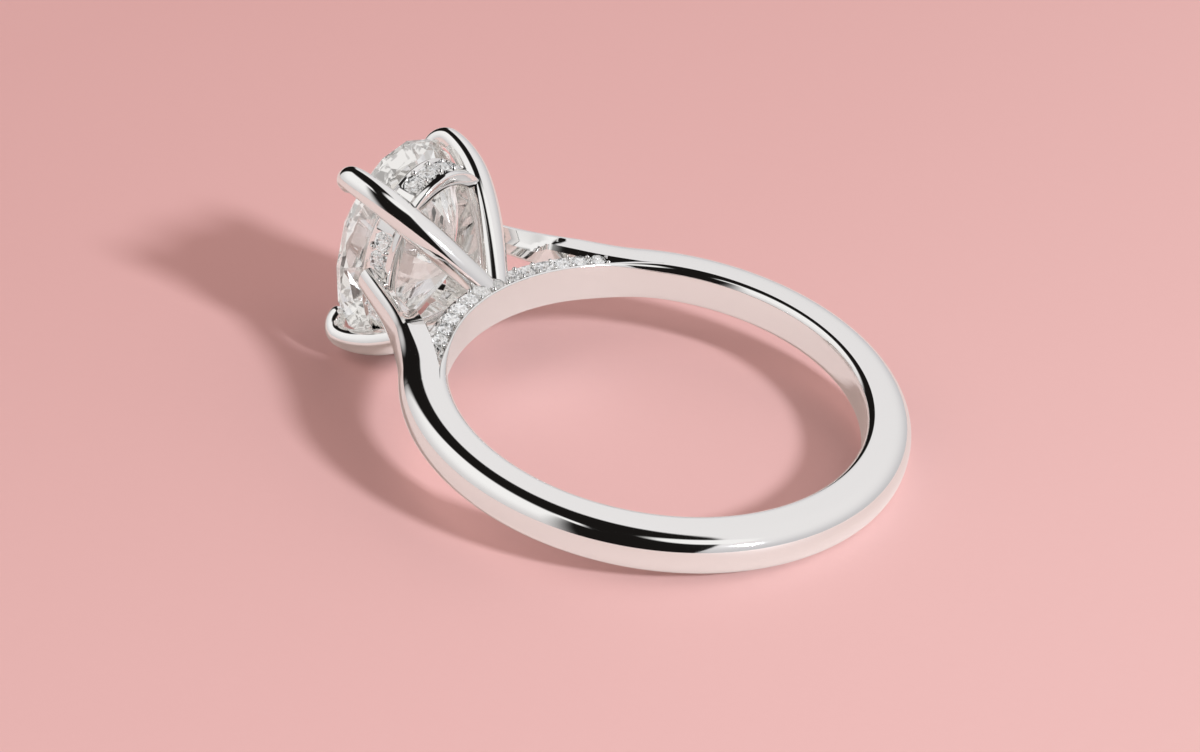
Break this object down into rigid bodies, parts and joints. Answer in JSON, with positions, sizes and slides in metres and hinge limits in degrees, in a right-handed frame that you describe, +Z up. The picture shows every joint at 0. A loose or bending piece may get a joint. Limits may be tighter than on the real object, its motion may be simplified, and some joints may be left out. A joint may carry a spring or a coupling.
{
  "type": "cathedral setting ring",
  "caption": "Finger ring with an oval cut stone in claw prongs over a gallery rail set with small stones, carried by raised shoulders above a stone-set bridge.",
  "frame": {"origin": "centre of the ring's box on the floor that it lies on", "axes": "+Y from the finger hole towards the head, +Z up from the floor, +X round the band"},
  "size_m": [0.0202, 0.0258, 0.0094],
  "materials": {
    "white_gold": "high polish",
    "centre_stone": "polished facets",
    "small_stones": "polished facets"
  },
  "bodies": {
    "root": {"ring_mount": "white_gold", "centre_stone": "centre_stone", "front_row_stone_1": "small_stones", "front_row_stone_2": "small_stones", "front_row_stone_3": "small_stones", "front_row_stone_4": "small_stones", "front_row_stone_5": "small_stones", "front_row_stone_6": "small_stones", "front_row_stone_7": "small_stones", "front_row_stone_8": "small_stones", "front_row_stone_9": "small_stones", "front_row_stone_10": "small_stones", "front_row_stone_11": "small_stones", "front_row_stone_12": "small_stones", "front_row_stone_13": "small_stones", "back_row_stone_1": "small_stones", "back_row_stone_2": "small_stones", "back_row_stone_3": "small_stones", "back_row_stone_4": "small_stones", "back_row_stone_5": "small_stones", "back_row_stone_6": "small_stones", "back_row_stone_7": "small_stones", "back_row_stone_8": "small_stones", "back_row_stone_9": "small_stones", "back_row_stone_10": "small_stones", "back_row_stone_11": "small_stones", "back_row_stone_12": "small_stones", "back_row_stone_13": "small_stones", "halo_stone_1": "small_stones", "halo_stone_2": "small_stones", "halo_stone_3": "small_stones", "halo_stone_4": "small_stones", "halo_stone_5": "small_stones", "halo_stone_6": "small_stones", "halo_stone_7": "small_stones", "halo_stone_8": "small_stones", "halo_stone_9": "small_stones", "halo_stone_10": "small_stones", "halo_stone_11": "small_stones", "halo_stone_12": "small_stones", "halo_stone_13": "small_stones", "halo_stone_14": "small_stones", "halo_stone_15": "small_stones", "halo_stone_16": "small_stones"}
  },
  "joints": []
}
